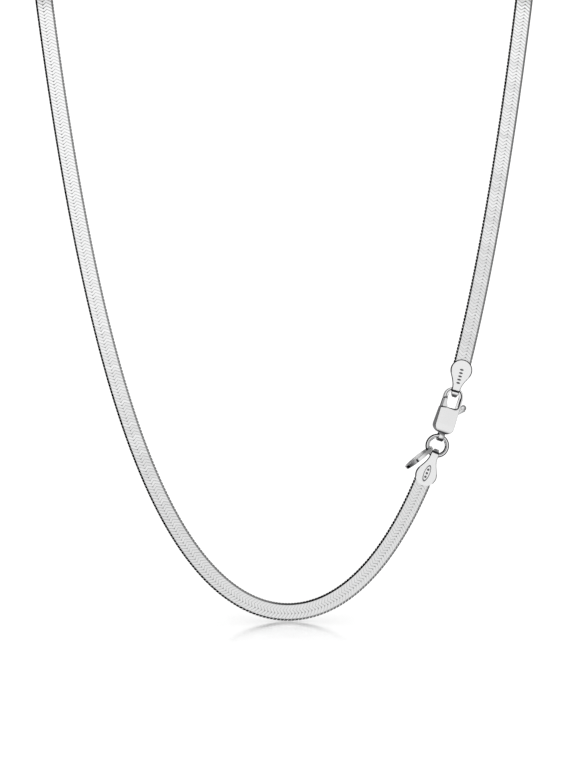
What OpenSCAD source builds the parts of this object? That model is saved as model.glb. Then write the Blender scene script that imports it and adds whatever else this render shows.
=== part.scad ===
// Flat snake chain of herringbone links, with a lobster clasp, in millimetres.
// +Z is up and the front of the necklace faces -Y. The origin is on the neck side of the
// chain, at the middle of the nape, where the necklace hangs.

/* [Chain] */
// Width of the flat chain
band_w = 4.5; // [4:0.1:5]
// Thickness of the flat chain
band_t = 1.2; // [1:0.05:1.2]
// Radius of its rounded long edges
band_edge = 0.55; // [0.4:0.05:0.58]
// Length of one facet of the solid along the chain
facet_len = 3.4; // [2.5:0.1:5]

/* [Front drape] */
// Height of the drape, from its lowest point to where it turns over the shoulders
drape_h = 150; // [145:1:160]
// How far the drape leans back from upright
lean = 8; // [0:1:15]
// Left half, which hangs in a curve like a cosh: how steeply it rises
left_rise = 25.56; // [25:0.1:27]
// Left half: how wide it spreads
left_spread = 23.16; // [22:0.1:24]
// Right half below the clasp: how steeply it rises
right_rise = 19.69; // [19:0.1:21]
// Right half below the clasp: how wide it spreads
right_spread = 20.61; // [20:0.1:21]
// Right branch above the clasp, which follows a log curve: how wide it spreads
branch_spread = 22.3; // [22:0.1:23]

/* [Neck] */
// Radius of the turn over each shoulder
shoulder_r = 12; // [8:1:16]
// Depth of the half ellipse behind the neck
nape_depth = 56.5; // [40:0.1:65]
// How far the chain slopes on the nape, from lying flat
nape_slope = 45; // [20:5:60]

/* [End tabs] */
// Radius of the round end of a tab
tab_r = 2.7; // [2.6:0.05:2.8]
// Width of a tab's neck and eye
tab_neck_w = 1.9; // [1.8:0.02:1.92]
// Thickness over both leaves of a tab
tab_t = 2.4; // [2.35:0.05:2.5]
// From the middle of the round end to the far centre of the eye
tab_len = 5.82; // [5.8:0.02:5.86]
// Radius of the eye's hole, which is a short slot
eye_r = 0.81; // [0.8:0.01:0.83]
// How far the chain's end goes past the middle of the tab's round end
tab_grip = 0.6; // [0.3:0.1:0.7]
// Height of the middle of the upper tab's round end above the drape's lowest point
upper_tab_z = 60.45; // [60:0.05:61]
// Height of the middle of the lower tab's round end above the drape's lowest point
lower_tab_z = 34.2; // [34:0.05:34.4]

/* [Clasp] */
// Distance of the hook's centre to the right of the drape's lowest point
clasp_x = 41.5; // [41.45:0.05:41.6]
// Height of the hook's centre above the drape's lowest point
clasp_z = 53.8; // [53.7:0.05:53.9]
// How far the clasp leans to the right
clasp_tilt = 18.5; // [17:0.5:19]
// How far it is turned about its own length, its left side to the front
clasp_turn = 15; // [10:1:15]
// Width of the housing and of the hook
clasp_w = 4.7; // [4.6:0.05:4.8]
// Thickness of the housing
clasp_t = 2.6; // [2.5:0.05:2.8]
// Width of the hook's wire
hook_w = 0.85; // [0.8:0.05:0.85]
// Depth of the hook's wire at its top
hook_t = 0.85; // [0.8:0.05:0.9]
// Thickness of the lever
lever_t = 0.9; // [0.8:0.05:0.9]
// Radius of the pivot pin
pin_r = 0.3; // [0.25:0.01:0.32]

/* [Rings] */
// Radius of the jump ring, to the middle of its wire
jump_r = 2.45; // [2.4:0.05:2.5]
// Radius of the jump ring's wire
jump_wire_r = 0.54; // [0.5:0.01:0.55]
// How far the jump ring is turned about the clasp's length
jump_turn = 7; // [5:1:9]
// Outer radius of the flat side ring
side_r = 4.2; // [4:0.05:4.25]
// Wall of the flat side ring
side_wall = 0.45; // [0.4:0.05:0.5]
// Width of the flat side ring
side_w = 0.85; // [0.8:0.05:0.9]

/* [Hidden] */
$fn = 48;

SILVER = "#d9dadd";
SILVER_SHADE = "#c4c6ca";
SILVER_BRIGHT = "#e6e7ea";

// Places in the drape's own plane: x to the right of its lowest point, z above it.

function unit(v) = v / norm(v);
function asinh(t) = ln(t + sqrt(t * t + 1));
function mix(a, b, k) = a + (b - a) * k;

// Both halves use t, the sinh of x over the spread, which goes up evenly with the length.
function curve_x(spread, t) = spread * asinh(t);
function curve_z(rise, t) = rise * (sqrt(1 + t * t) - 1);
function curve_t(rise, z) = sqrt(pow(1 + z / rise, 2) - 1);

// The branch above the clasp spreads with the log of its height above a root.
branch_root = 29;
branch_shift = -57;
function branch_x(z) = branch_shift + branch_spread * ln(z + branch_root);
function branch_angle(z) = atan(branch_spread / (z + branch_root));

left_top_t = curve_t(left_rise, drape_h);
left_top_x = -curve_x(left_spread, left_top_t);
left_top_angle = atan(left_spread / (left_rise * left_top_t));
right_top_angle = branch_angle(drape_h);

// The drape leans back about its lowest point.
function leaned(x, z) = [x, z * sin(lean), z * cos(lean)];
front = [0, -cos(lean), sin(lean)];

// Each shoulder turns from the top of its leg until it points straight back.
function leg_up(angle) = [sin(angle), cos(angle) * sin(lean), cos(angle) * cos(lean)];
function turn_angle(up) = acos(up.y);
function turn_side(up) = unit([0, 1, 0] - up.y * up);
function shoulder(start, up, a) =
    start + shoulder_r * (sin(a) * up + (1 - cos(a)) * turn_side(up));
function shoulder_normal(up, a) = unit(sin(a) * up - cos(a) * turn_side(up));

right_top = leaned(branch_x(drape_h), drape_h);
right_up = leg_up(right_top_angle);
right_end = shoulder(right_top, right_up, turn_angle(right_up));
left_top = leaned(left_top_x, drape_h);
left_up = leg_up(-left_top_angle);
left_end = shoulder(left_top, left_up, turn_angle(left_up));

// The nape is half an ellipse, from the right shoulder (0) to the left one (180).
nape_mid = (right_end + left_end) / 2;
nape_half = (right_end - left_end) / 2;
function nape(a) = nape_mid + nape_half * cos(a) + [0, nape_depth * sin(a), 0];
function nape_tilt(a) = mix(right_top_angle, nape_slope, pow(sin(a), 2));
function nape_out(a) = unit([cos(a) / norm(nape_half), sin(a) / nape_depth, 0]);
function nape_normal(a) = [0, 0, cos(nape_tilt(a))] + nape_out(a) * sin(nape_tilt(a));

// The chain's way, from the upper tab over both shoulders to the lower tab. Each station
// holds a point on the middle of the chain and the direction that its face looks in.
function steps(length) = ceil(length / facet_len);
branch_foot_z = upper_tab_z - tab_grip * cos(branch_angle(upper_tab_z));
branch_steps = steps(drape_h - branch_foot_z);
turn_steps = steps(shoulder_r * PI / 2) + 2;
nape_steps = steps(PI * (norm(nape_half) + nape_depth) / 2);
left_steps = steps(drape_h + left_rise);
lower_tab_t = curve_t(right_rise, lower_tab_z);
lower_tab_angle = atan(right_spread / (right_rise * lower_tab_t));
lower_top_t = curve_t(right_rise, lower_tab_z + tab_grip * cos(lower_tab_angle));
lower_steps = steps(lower_top_t * right_rise);

way = [
    for (i = [0 : branch_steps - 1])
        let (z = mix(branch_foot_z, drape_h, i / branch_steps))
        [leaned(branch_x(z), z), front],
    for (i = [0 : turn_steps - 1])
        let (a = turn_angle(right_up) * i / turn_steps)
        [shoulder(right_top, right_up, a), shoulder_normal(right_up, a)],
    for (i = [0 : nape_steps])
        let (a = 180 * i / nape_steps)
        [nape(a), nape_normal(a)],
    for (i = [turn_steps - 1 : -1 : 0])
        let (a = turn_angle(left_up) * i / turn_steps)
        [shoulder(left_top, left_up, a), shoulder_normal(left_up, a)],
    for (i = [1 : left_steps])
        let (t = left_top_t * (1 - i / left_steps))
        [leaned(-curve_x(left_spread, t), curve_z(left_rise, t)), front],
    for (i = [1 : lower_steps])
        let (t = lower_top_t * i / lower_steps)
        [leaned(curve_x(right_spread, t), curve_z(right_rise, t)), front],
];

// The origin of the whole model: the neck side of the chain, at the middle of the nape.
origin = nape(90) - nape_normal(90) * band_t / 2;

// A round-edged flat section, as [across the chain, out from its face].
function section_side(s) =
    let (x = band_w / 2 - band_edge, z = band_t / 2)
    [
        [s * x, -s * z],
        [s * (x + band_edge * 0.75), -s * z * 0.62],
        [s * (x + band_edge), 0],
        [s * (x + band_edge * 0.75), s * z * 0.62],
        [s * x, s * z],
    ];
section = concat(section_side(1), section_side(-1));

function way_dir(i) = unit(way[min(i + 1, len(way) - 1)][0] - way[max(i - 1, 0)][0]);
function way_ring(i) =
    let (along = way_dir(i), across = unit(cross(along, way[i][1])), out = cross(across, along))
    [for (p = section) way[i][0] + across * p.x + out * p.y - origin];

// One closed solid through a list of rings that all have n points.
module sweep(rings, n) {
    last = len(rings) - 1;
    sides = [
        for (i = [0 : last - 1])
        for (j = [0 : n - 1])
        let (k = (j + 1) % n, a = i * n, b = a + n)
        each [[a + j, b + j, b + k], [a + j, b + k, a + k]]
    ];
    caps = [
        for (j = [1 : n - 2])
        each [[0, j, j + 1], [last * n, last * n + j + 1, last * n + j]]
    ];
    polyhedron([for (r = rings) each r], concat(sides, caps));
}

// Children are drawn with x to the right, y up and z to the front, and are set at a place
// in the drape's plane, leaning to the right by tilt and turned about their own y.
module on_drape(x, z, tilt = 0, turn = 0) {
    translate(-origin)
        rotate([-lean, 0, 0])
            translate([x, 0, z])
                rotate([90, 0, 0])
                    rotate([0, 0, -tilt])
                        rotate([0, turn, 0])
                            children();
}

function arc(cx, cy, r, a0, a1, n) =
    [for (i = [0 : n]) let (a = mix(a0, a1, i / n)) [cx + r * cos(a), cy + r * sin(a)]];

// Extrudes a side view, drawn as [depth, height], right across the piece.
module across(width) {
    rotate([0, 90, 0])
        translate([0, 0, -width / 2])
            linear_extrude(width)
                children();
}

// Snake chain: the outer form of all its links, as one solid.
module snake_chain() {
    color(SILVER)
        sweep([for (i = [0 : len(way) - 1]) way_ring(i)], len(section));
}

// Tabs: a pear-shaped strip folded round the clasp or ring, whose leaves hold the chain.
// Drawn with the round end at the origin and the eye below it.
tab_eye_near = tab_len - 0.95;
tab_eye_out_r = tab_t / 2;
tab_leave = 28;
// The fold is a little narrower than the neck
fold_trim = 0.35;
pocket_t = band_t + 0.1;
pocket_floor = tab_grip + 0.3;

// Half width of the tab, from where it leaves the round end (0) to its neck (1).
function pear_half(k) =
    let (w0 = tab_r * cos(tab_leave), w1 = tab_neck_w / 2,
         span = tab_eye_near - tab_r * sin(tab_leave))
    (2 * k * k * k - 3 * k * k + 1) * w0 - (k * k * k - 2 * k * k + k) * tan(tab_leave) * span
    + (3 * k * k - 2 * k * k * k) * w1;
function pear_y(k) = mix(-tab_r * sin(tab_leave), -tab_eye_near, k);
pear_steps = 8;
pear = concat(
    arc(0, 0, tab_r, -tab_leave, 180 + tab_leave, 26),
    [for (i = [1 : pear_steps]) [-pear_half(i / pear_steps), pear_y(i / pear_steps)]],
    [
        [-tab_neck_w / 2, -tab_len],
        [fold_trim - tab_neck_w / 2, -tab_len - tab_eye_out_r],
        [tab_neck_w / 2 - fold_trim, -tab_len - tab_eye_out_r],
        [tab_neck_w / 2, -tab_len],
    ],
    [for (i = [pear_steps : -1 : 1]) [pear_half(i / pear_steps), pear_y(i / pear_steps)]]
);

module tab() {
    difference() {
        intersection() {
            translate([0, 0, -tab_t / 2])
                linear_extrude(tab_t)
                    polygon(pear);
            union() {
                translate([0, -tab_len, 0])
                    rotate([0, 90, 0])
                        cylinder(r = tab_eye_out_r, h = 3 * tab_r, center = true);
                translate([-1.5 * tab_r, -tab_len, -tab_t])
                    cube([3 * tab_r, tab_len + 2 * tab_r, 2 * tab_t]);
            }
        }
        // The pocket that the chain's end goes into, open at both sides
        translate([-1.5 * tab_r, -pocket_floor, -pocket_t / 2])
            cube([3 * tab_r, 2 * tab_r + pocket_floor, pocket_t]);
        // The eye, a short slot right across
        for (y = [tab_eye_near, tab_len])
            translate([0, -y, 0])
                rotate([0, 90, 0])
                    cylinder(r = eye_r, h = 3 * tab_r, center = true);
        translate([-1.5 * tab_r, -tab_len, -eye_r])
            cube([3 * tab_r, tab_len - tab_eye_near, 2 * eye_r]);
    }
}

module upper_tab() {
    color(SILVER_BRIGHT)
        on_drape(branch_x(upper_tab_z), upper_tab_z, branch_angle(upper_tab_z))
            tab();
}

// The lower tab stands the other way up, with its eye above. The jump ring pulls it a
// little out of line with the chain.
lower_tab_shift = 0.25;
lower_tab_swing = 0.6;

module lower_tab() {
    color(SILVER_BRIGHT)
        on_drape(curve_x(right_spread, lower_tab_t) + lower_tab_shift, lower_tab_z,
                 180 + lower_tab_angle + lower_tab_swing)
            tab();
}

// Clasp, drawn with the centre of its hook at the origin
clasp_half = clasp_w / 2;
housing_top = -2.95;
housing_bottom = -9.65;
housing_corner = 1.9;
lug_y = housing_bottom - 0.85;
lug_r = 1.2;
lug_hole_r = 0.82;
lug_w = 1.5;
slot_t = lever_t + 0.1;
pivot = [-0.1, -5.1];
// The faces of hook tip and lever meet on a line that rises inwards, which lets the
// lever swing in without touching the hook.
tip_slope = 28;
tip_y = -1.05;
tip_gap = 0.1;
function tip_line(x, drop) = [x, tip_y - drop + (x + clasp_half) * tan(tip_slope)];

module clasp_outline() {
    inner = clasp_half - hook_w;
    difference() {
        polygon(concat(
            arc(0, 0, clasp_half, 0, 180, 28),
            arc(housing_corner - clasp_half, housing_bottom + housing_corner,
                housing_corner, 180, 270, 8),
            arc(clasp_half - housing_corner, housing_bottom + housing_corner,
                housing_corner, 270, 360, 8)
        ));
        // The opening inside the hook
        polygon(concat(
            arc(0, 0, inner, 0, 180, 20),
            [[-inner, housing_top]],
            arc(inner - 0.6, housing_top + 0.6, 0.6, 270, 360, 5)
        ));
        // The gap that the lever closes
        polygon([
            tip_line(-clasp_half - 0.3, 0),
            tip_line(-inner + 0.3, 0),
            [-inner + 0.3, housing_top],
            [-clasp_half - 0.3, housing_top - 0.55],
        ]);
    }
}

// Side view, as [depth, height]: thick at the housing, thin at the top of the hook
module clasp_side() {
    half_t = clasp_t / 2;
    half_hook = hook_t / 2;
    polygon(concat(
        [[1.1, housing_bottom - 0.1], [half_t, housing_bottom + 0.8], [half_t, -3.6], [0.62, -0.4],
         [half_hook, 0.9]],
        arc(0, clasp_half - half_hook, half_hook, 0, 180, 8),
        [[-half_hook, 0.9], [-0.62, -0.4], [-half_t, -3.6], [-half_t, housing_bottom + 0.8],
         [-1.1, housing_bottom - 0.1]]
    ));
}

module clasp_body() {
    color(SILVER)
        on_drape(clasp_x, clasp_z, clasp_tilt, clasp_turn) {
            difference() {
                union() {
                    intersection() {
                        translate([0, 0, -clasp_t])
                            linear_extrude(2 * clasp_t)
                                clasp_outline();
                        across(2 * clasp_w)
                            clasp_side();
                    }
                    translate([0, lug_y, 0])
                        rotate([0, 90, 0])
                            cylinder(r = lug_r, h = lug_w, center = true);
                }
                // The hole of the lug
                translate([0, lug_y, 0])
                    rotate([0, 90, 0])
                        cylinder(r = lug_hole_r, h = 2 * clasp_w, center = true);
                // The slot that the lever swings in
                translate([0, 0, -slot_t / 2])
                    linear_extrude(slot_t)
                        polygon([[-1.8, -2.5], [-1.8, -4.9], [-1.2, -6.1], [0.7, -6.15], [2.6, -4.8],
                                 [2.6, -1.8], [1.4, -2.85], [1.2, -2.5]]);
            }
            // The pivot pin, riveted into both cheeks
            translate([pivot.x, pivot.y, 0])
                cylinder(r = pin_r, h = clasp_t * 0.8, center = true);
        }
}

// Lever: gate, hub, stem and thumb knob in one piece, which swings about the pivot
knob = [3.33, -1.98];
knob_r = 0.82;
stem_half = 0.5;
hub_r = 0.85;

module lever_outline() {
    side = -clasp_half + 0.02;
    run = unit(knob - pivot);
    off = [-run.y, run.x] * stem_half;
    polygon([
        tip_line(side, tip_gap), tip_line(-1.22, tip_gap), [-1.05, -1.7], [-0.8, -3], [0.6, -4.7],
        pivot, [-0.9, -5.3], [-1.68, -4.1], [-1.7, -3.02], [side, -3.24],
    ]);
    polygon([pivot + off, knob + off, knob - off, pivot - off]);
}

module clasp_lever() {
    color(SILVER_SHADE)
        on_drape(clasp_x, clasp_z, clasp_tilt, clasp_turn)
            difference() {
                union() {
                    translate([0, 0, -lever_t / 2])
                        linear_extrude(lever_t)
                            lever_outline();
                    translate([pivot.x, pivot.y, 0])
                        cylinder(r = hub_r, h = lever_t, center = true);
                    translate([knob.x, knob.y, 0])
                        sphere(r = knob_r);
                }
                // The bore for the pivot pin
                translate([pivot.x, pivot.y, 0])
                    cylinder(r = pin_r + 0.05, h = 2 * lever_t, center = true);
            }
}

// Jump ring: it hangs in the lug of the clasp, with its centre below the lug.
jump_swing = 20;
lug_x_on_drape = clasp_x + lug_y * sin(clasp_tilt);
lug_z_on_drape = clasp_z + lug_y * cos(clasp_tilt);
jump_x = lug_x_on_drape - jump_r * sin(jump_swing);
jump_z = lug_z_on_drape - jump_r * cos(jump_swing);

module jump_ring() {
    color(SILVER)
        on_drape(jump_x, jump_z, jump_swing, jump_turn)
            rotate_extrude()
                translate([jump_r, 0])
                    circle(r = jump_wire_r);
}

// Side ring: a flat ring that hangs in the jump ring and is seen on its edge.
// It crosses the jump ring's wire at side_angle, points away from it along side_way and
// is rolled about that line by side_roll.
side_angle = 207;
side_way = 218;
side_roll = 2.5;
side_reach = side_r - side_wall - jump_wire_r - 0.2;

module side_ring() {
    inner = side_r - side_wall;
    edge = 0.1;
    color(SILVER_SHADE)
        on_drape(jump_x, jump_z, jump_swing, jump_turn)
            rotate([0, 0, side_angle + jump_swing])
                translate([jump_r, 0, 0])
                    rotate([90 + side_roll, 0, side_way - side_angle])
                        translate([side_reach, 0, 0])
                            rotate_extrude()
                                polygon([
                                    [inner, -side_w / 2 + edge], [inner + edge, -side_w / 2],
                                    [side_r - edge, -side_w / 2], [side_r, -side_w / 2 + edge],
                                    [side_r, side_w / 2 - edge], [side_r - edge, side_w / 2],
                                    [inner + edge, side_w / 2], [inner, side_w / 2 - edge],
                                ]);
}

snake_chain();
upper_tab();
lower_tab();
clasp_body();
clasp_lever();
jump_ring();
side_ring();
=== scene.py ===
# %% [markdown]
# # A flat snake chain, hanging as it is worn
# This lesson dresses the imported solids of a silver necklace. The chain is a flat ribbon of
# bent links that nest in each other, closed by a lobster clasp, a jump ring and two end
# tabs. The solids come in first and stay where they are. Every new piece is made in the
# same frame, in metres, and takes the place of the solid that it stands for.

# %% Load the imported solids
import math
import random

import bmesh
import bpy
from mathutils import Matrix, Vector


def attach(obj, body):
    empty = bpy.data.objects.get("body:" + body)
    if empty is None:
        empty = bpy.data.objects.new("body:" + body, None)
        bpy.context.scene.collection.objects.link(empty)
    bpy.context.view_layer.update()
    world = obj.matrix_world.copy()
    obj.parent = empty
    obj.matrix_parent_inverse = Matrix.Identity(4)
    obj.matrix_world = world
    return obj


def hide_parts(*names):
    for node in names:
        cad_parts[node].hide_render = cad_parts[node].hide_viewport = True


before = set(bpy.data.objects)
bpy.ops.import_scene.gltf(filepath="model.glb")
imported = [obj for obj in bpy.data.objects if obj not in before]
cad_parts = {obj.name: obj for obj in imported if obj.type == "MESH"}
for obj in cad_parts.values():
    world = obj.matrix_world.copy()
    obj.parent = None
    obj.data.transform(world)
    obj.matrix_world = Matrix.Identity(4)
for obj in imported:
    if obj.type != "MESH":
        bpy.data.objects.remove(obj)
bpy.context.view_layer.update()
bpy.context.scene.view_settings.view_transform = "Standard"

# %% [markdown]
# ## Where things are
# The front of the necklace hangs in one plane that leans back by eight degrees. Places in
# that plane are given in millimetres to the right of the drape's lowest point and above it.
# The left leg and the right leg below the clasp hang like a cosh curve, and the branch
# above the clasp spreads with the log of its height.

# %% The drape's plane and its curves
MM = 0.001
LEAN = math.radians(8)
FRONT = Vector((0, -math.cos(LEAN), math.sin(LEAN)))
DRAPE_H = 150
LEFT_RISE, LEFT_SPREAD = 25.56, 23.16
RIGHT_RISE, RIGHT_SPREAD = 19.69, 20.61
BRANCH_SPREAD, BRANCH_ROOT, BRANCH_SHIFT = 22.3, 29, -57
SHOULDER_R = 12
NAPE_DEPTH, NAPE_SLOPE = 56.5, math.radians(45)
BAND_W, BAND_T = 4.5, 1.2
UPPER_TAB_Z, LOWER_TAB_Z, TAB_GRIP = 60.45, 34.2, 0.6


def leaned(x, z):
    return Vector((x, z * math.sin(LEAN), z * math.cos(LEAN)))


def curve_t(rise, z):
    return math.sqrt((1 + z / rise) ** 2 - 1)


def curve_point(spread, rise, t):
    return leaned(spread * math.asinh(t), abs(rise) * (math.sqrt(1 + t * t) - 1))


def branch_x(z):
    return BRANCH_SHIFT + BRANCH_SPREAD * math.log(z + BRANCH_ROOT)


def branch_angle(z):
    return math.atan(BRANCH_SPREAD / (z + BRANCH_ROOT))


LEFT_TOP_T = curve_t(LEFT_RISE, DRAPE_H)
LOWER_TAB_T = curve_t(RIGHT_RISE, LOWER_TAB_Z)
LOWER_TAB_ANGLE = math.atan(RIGHT_SPREAD / (RIGHT_RISE * LOWER_TAB_T))
print("legs meet the shoulders at x", round(branch_x(DRAPE_H), 2),
      round(-LEFT_SPREAD * math.asinh(LEFT_TOP_T), 2))


# %% The turn over a shoulder
def leg_up(angle):
    return Vector((math.sin(angle), math.cos(angle) * math.sin(LEAN),
                   math.cos(angle) * math.cos(LEAN)))


class Shoulder:
    """A turn from the top of a leg until the chain points straight back."""

    def __init__(self, start, angle):
        self.start = start
        self.up = leg_up(angle)
        self.side = (Vector((0, 1, 0)) - self.up.y * self.up).normalized()
        self.sweep = math.acos(self.up.y)
        self.end = self.at(self.sweep)[0]

    def at(self, a):
        out = math.sin(a) * self.up - math.cos(a) * self.side
        point = self.start + SHOULDER_R * (self.side + out)
        return point, out.normalized()


right_shoulder = Shoulder(leaned(branch_x(DRAPE_H), DRAPE_H), branch_angle(DRAPE_H))
left_angle = math.atan(LEFT_SPREAD / (LEFT_RISE * LEFT_TOP_T))
left_shoulder = Shoulder(curve_point(-LEFT_SPREAD, LEFT_RISE, LEFT_TOP_T), -left_angle)
print("shoulder ends", [round(v, 2) for v in right_shoulder.end],
      [round(v, 2) for v in left_shoulder.end])

# %% The nape, half an ellipse between the shoulders
nape_mid = (right_shoulder.end + left_shoulder.end) / 2
nape_half = (right_shoulder.end - left_shoulder.end) / 2


def nape_at(a):
    point = nape_mid + nape_half * math.cos(a) + Vector((0, NAPE_DEPTH * math.sin(a), 0))
    first = branch_angle(DRAPE_H)
    tilt = first + (NAPE_SLOPE - first) * math.sin(a) ** 2
    out = Vector((math.cos(a) / nape_half.length, math.sin(a) / NAPE_DEPTH, 0)).normalized()
    return point, Vector((0, 0, math.cos(tilt))) + out * math.sin(tilt)


nape_point, nape_normal = nape_at(math.pi / 2)
ORIGIN = nape_point - nape_normal * BAND_T / 2
print("the origin is", [round(v, 3) for v in ORIGIN], "mm from the drape's lowest point")

# %% [markdown]
# ## The camera first
# The camera looks square at the drape's plane through a long lens, so that the picture
# plane and the drape's plane agree. One picture height is 192 mm at the drape.

# %% Camera
PICTURE_H, CAMERA_FAR, SENSOR_H = 192, 900, 24
AIM_X, AIM_Z = 0.05, 56.95
aim = leaned(AIM_X, AIM_Z) - ORIGIN
bpy.ops.object.camera_add(location=(aim + FRONT * CAMERA_FAR) * MM,
                          rotation=(math.pi / 2 - LEAN, 0, 0))
camera = bpy.context.object
camera.name = "camera"
camera.data.sensor_fit = "VERTICAL"
camera.data.sensor_height = SENSOR_H
camera.data.lens = SENSOR_H * CAMERA_FAR / PICTURE_H
camera.data.clip_start = 0.01
bpy.context.scene.camera = camera
print("lens", round(camera.data.lens, 1), "mm, looking down by 8 degrees")

# %% [markdown]
# ## Light for polished silver
# Polished metal shows its surroundings, so its look is made by what stands round it. In
# front is a wide pale card, and dark cards at the sides draw the thin dark lines along the
# edges. This world is such a ring of cards for reflections, and plain white for the rest.
# The card on the left is black, the one on the right grey, as the photograph's edges ask.
# Straight behind the chain it grows light again, which shows in the floor.

# %% The world and the angle of each direction from the front
def add_node(tree, kind, inputs=(), **values):
    """A new node. Each input gets a value, or is joined to another node's output."""
    node = tree.nodes.new(kind)
    for key, value in values.items():
        setattr(node, key, value)
    for socket, value in dict(inputs).items():
        if isinstance(value, bpy.types.NodeSocket):
            tree.links.new(value, node.inputs[socket])
        else:
            node.inputs[socket].default_value = value
    return node


def grey(value):
    return value, value, value, 1


world = bpy.data.worlds.new("studio")
bpy.context.scene.world = world
world.use_nodes = True
world.cycles.sampling_method = "NONE"
sky = world.node_tree
sky.nodes.clear()
way = add_node(sky, "ShaderNodeTexCoord").outputs["Generated"]


def dot_with(direction):
    return add_node(sky, "ShaderNodeVectorMath", {0: way, 1: direction},
                    operation="DOT_PRODUCT").outputs["Value"]


def ranged(value, low, high, kind="LINEAR"):
    return add_node(sky, "ShaderNodeMapRange", {"Value": value, "From Min": low, "From Max": high},
                    interpolation_type=kind).outputs["Result"]


def mixed(factor, low, high, blend="MIX"):
    return add_node(sky, "ShaderNodeMix", {"Factor": factor, "A": low, "B": high},
                    data_type="RGBA", blend_type=blend).outputs["Result"]


def greys(tree, value, low, high, stops):
    """A ramp of greys over a value, with its stops given in that value's own unit."""
    node = add_node(tree, "ShaderNodeValToRGB", {0: value})
    for _ in stops[2:]:
        node.color_ramp.elements.new(1)
    for element, (at, tone) in zip(node.color_ramp.elements, stops):
        element.position = (at - low) / (high - low)
        element.color = grey(tone)
    return node.outputs["Color"]


angle = add_node(sky, "ShaderNodeMath", {0: dot_with(FRONT)}, operation="ARCCOSINE")
turned_away = ranged(angle.outputs[0], 0, math.pi)
print("world has", len(sky.nodes), "nodes so far")

# %% Rings of cards on the left, on the right, and above and below
# Each stop is an angle from the front, in degrees, and the grey that is seen there.
BACK_LIGHT = 0.85
BACK = [(148, 0.45), (158, BACK_LIGHT), (180, BACK_LIGHT)]
LEFT = [(0, 1), (33, 1), (44, 0.5), (56, 0.03), (72, 0), (134, 0)]
RIGHT = [(0, 1), (20, 1), (34, 0.82), (46, 0.5), (60, 0.2), (75, 0.25), (134, 0.25)]
MIDDLE = [(0, 1), (16, 1), (32, 0.72), (48, 0.4), (62, 0.14), (75, 0.06), (134, 0.06)]
left_ring, right_ring, middle_ring = [
    greys(sky, turned_away, 0, 180, stops + BACK) for stops in (LEFT, RIGHT, MIDDLE)]
SIDE_START, SIDE_BLEND = 0.04, 0.32
rightward = dot_with((1, 0, 0))
leftness = ranged(rightward, -SIDE_START, -SIDE_BLEND, "SMOOTHSTEP")
rightness = ranged(rightward, SIDE_START, SIDE_BLEND, "SMOOTHSTEP")
ring = mixed(rightness, mixed(leftness, middle_ring, left_ring), right_ring)
print("cards: black on the left, grey on the right, and", BACK_LIGHT, "behind")

# %% Tones of the front card
# It is a little darker low down and to the right, so that the drape shades as it falls.
LIGHTER_LEFT = 0.55
TONE_WAY = leaned(0, 1) - Vector((LIGHTER_LEFT, 0, 0))
CARD_EDGE = (18 / 180, 30 / 180)
TONES = [(-8, 0.8), (-3.4, 0.8), (-1.9, 0.71), (-0.3, 0.715), (0.7, 0.82), (1.5, 0.91),
         (2.5, 0.99), (4.5, 1.02), (8, 1.04), (12, 1)]
tone_low, tone_high = TONES[0][0], TONES[-1][0]
across_card = ranged(dot_with(TONE_WAY), math.radians(tone_low), math.radians(tone_high))
front_tone = greys(sky, across_card, tone_low, tone_high, TONES)
off_card = ranged(turned_away, *CARD_EDGE, "SMOOTHSTEP")
cards = mixed(1, ring, mixed(off_card, front_tone, grey(1)), "MULTIPLY")
print("front card", TONES[0][1], "to", TONES[-2][1])

# %% What each kind of ray sees of the world
PLAIN_LIGHT = 1.08


def background(strength, colour=grey(1)):
    return add_node(sky, "ShaderNodeBackground", {"Color": colour, "Strength": strength}).outputs[0]


ray = add_node(sky, "ShaderNodeLightPath")
seen = background(PLAIN_LIGHT)
for kind, light in (("Is Glossy Ray", background(1, cards)), ("Is Camera Ray", background(1))):
    seen = add_node(sky, "ShaderNodeMixShader", {0: ray.outputs[kind], 1: seen, 2: light}).outputs[0]
add_node(sky, "ShaderNodeOutputWorld", {0: seen})
print("world of", len(sky.nodes), "nodes")

# %% [markdown]
# ## The floor
# The photograph's table is white and glossy, so the bottom of the chain mirrors in it and
# the mirrored part soon fades. This floor is matt white with one polished spot under the
# chain, which grows matt with distance. The polish is set a little over full, because the
# light that it mirrors from behind is dim.

# %% Floor
FLOOR_GAP = 0.12
FLOOR_SIZE = 40
lowest = leaned(0, 0) - ORIGIN - Vector((0, 0, BAND_W / 2))
floor_z = (lowest.z - FLOOR_GAP) * MM
bpy.ops.mesh.primitive_plane_add(size=FLOOR_SIZE, location=(0, 0, floor_z))
floor = bpy.context.object
floor.name = "floor"
floor.visible_glossy = False
print("floor at", round(floor_z, 5), "m")

# %% Its white, and the polished spot
SPOT = Vector((11, 18, 1)) * MM
FLOOR_WHITE, POLISH, POLISH_ROUGH = 0.92, 1.18, 0.18
SPOT_FADE = [(0, 0.4), (0.2, 0.48), (0.45, 0.66), (0.8, 0.58), (1.2, 0.42), (1.75, 0.32),
             (2.1, 0.16), (3, 0)]
floor_paint = bpy.data.materials.new("floor_white")
floor_paint.use_nodes = True
ground = floor_paint.node_tree
ground.nodes.clear()
spot_end = SPOT_FADE[-1][0]
floor_place = add_node(ground, "ShaderNodeTexCoord").outputs["Object"]
from_spot = add_node(ground, "ShaderNodeMapping", {
    "Vector": floor_place, "Location": (lowest.x * MM, lowest.y * MM, 0), "Scale": SPOT,
}, vector_type="TEXTURE").outputs["Vector"]
how_far = add_node(ground, "ShaderNodeVectorMath", {0: from_spot}, operation="LENGTH")
share = add_node(ground, "ShaderNodeMath", {0: how_far.outputs["Value"], 1: spot_end},
                 operation="DIVIDE").outputs[0]
matt = add_node(ground, "ShaderNodeBsdfDiffuse", {"Color": grey(FLOOR_WHITE)})
gloss = add_node(ground, "ShaderNodeBsdfGlossy", {"Color": grey(POLISH), "Roughness": POLISH_ROUGH})
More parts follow.
